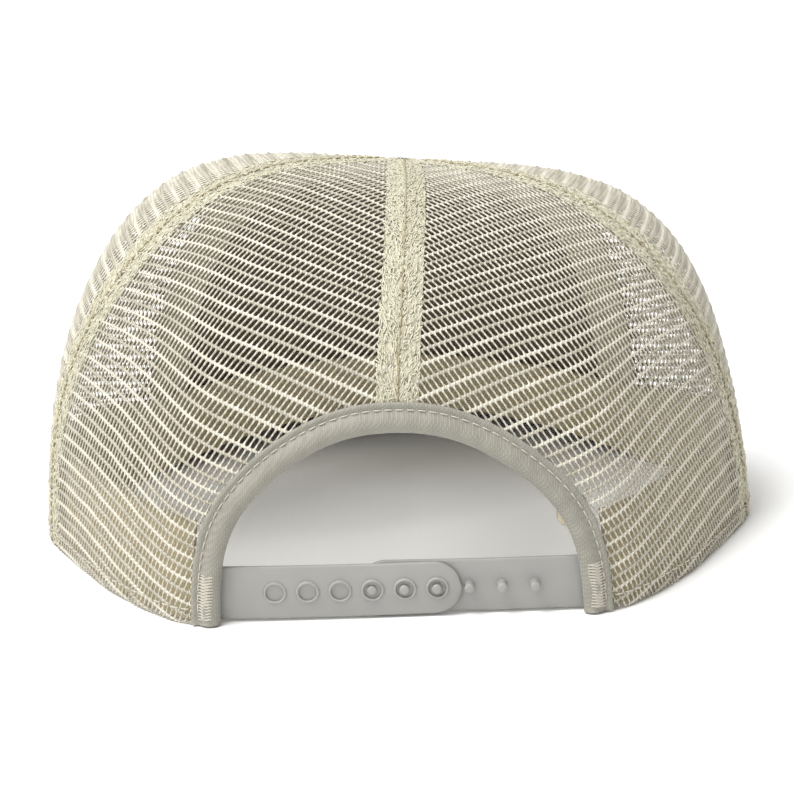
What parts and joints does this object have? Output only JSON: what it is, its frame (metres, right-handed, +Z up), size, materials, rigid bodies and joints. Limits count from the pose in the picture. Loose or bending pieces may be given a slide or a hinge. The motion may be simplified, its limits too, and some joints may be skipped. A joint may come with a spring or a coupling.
{
  "type": "trucker mesh cap",
  "caption": "Foam-front baseball-style cap with see-through mesh crown, curved visor, rear arch opening and snap-fastened adjusting strap.",
  "frame": {"origin": "middle of the head opening, on the level that the rim rests on", "axes": "+Z up through the crown, -Y forward over the visor, +Y to the rear strap, +X to the wearer's left"},
  "size_m": [0.2078, 0.2336, 0.1075],
  "materials": {
    "front_fabric": "brushed woven face cloth",
    "foam": "open-cell foam laminate with a knitted backing",
    "mesh": "glossy knitted nylon mesh",
    "tape": "yellowed twill tape",
    "sweatband": "matt cotton",
    "padding": "thin felt",
    "binding": "satin twill",
    "strap_plastic": "moulded, slightly translucent",
    "thread": "twisted polyester thread",
    "board": "moulded sheet",
    "label": "plain woven tape"
  },
  "bodies": {
    "cap": {"front_panel_cover": "front_fabric", "front_panel_foam": "foam", "side_mesh_left": "mesh", "side_mesh_right": "mesh", "rear_mesh_left": "mesh", "rear_mesh_right": "mesh", "centre_back_tape": "tape", "rear_seam_tape_left": "tape", "rear_seam_tape_right": "tape", "front_seam_tape_left": "tape", "front_seam_tape_right": "tape", "sweatband": "sweatband", "sweatband_padding": "padding", "arch_binding": "binding", "strap_tack_left": "thread", "strap_tack_right": "thread", "visor_board": "board", "visor_top_cover": "front_fabric", "visor_under_cover": "front_fabric"},
    "strap_holes_half": {"snap_strap_holes": "strap_plastic"},
    "strap_pegs_half": {"snap_strap_pegs": "strap_plastic"},
    "label": {"blank_label": "label"}
  },
  "joints": [
    {"name": "unsnap_outwards", "type": "hinge", "parent": "cap", "child": "strap_holes_half", "pos_m": [0.04833, 0.07572, 0], "axis": [0, 0, -1], "range_deg": [0, 70]},
    {"name": "pegs_swing_inwards", "type": "hinge", "parent": "cap", "child": "strap_pegs_half", "pos_m": [-0.05333, 0.07524, 0], "axis": [0, 0, -1], "range_deg": [0, 35]},
    {"name": "label_flip", "type": "hinge", "parent": "cap", "child": "label", "pos_m": [-0.052, 0.0738, 0], "axis": [0, 0, -1], "range_deg": [0, 60]}
  ]
}
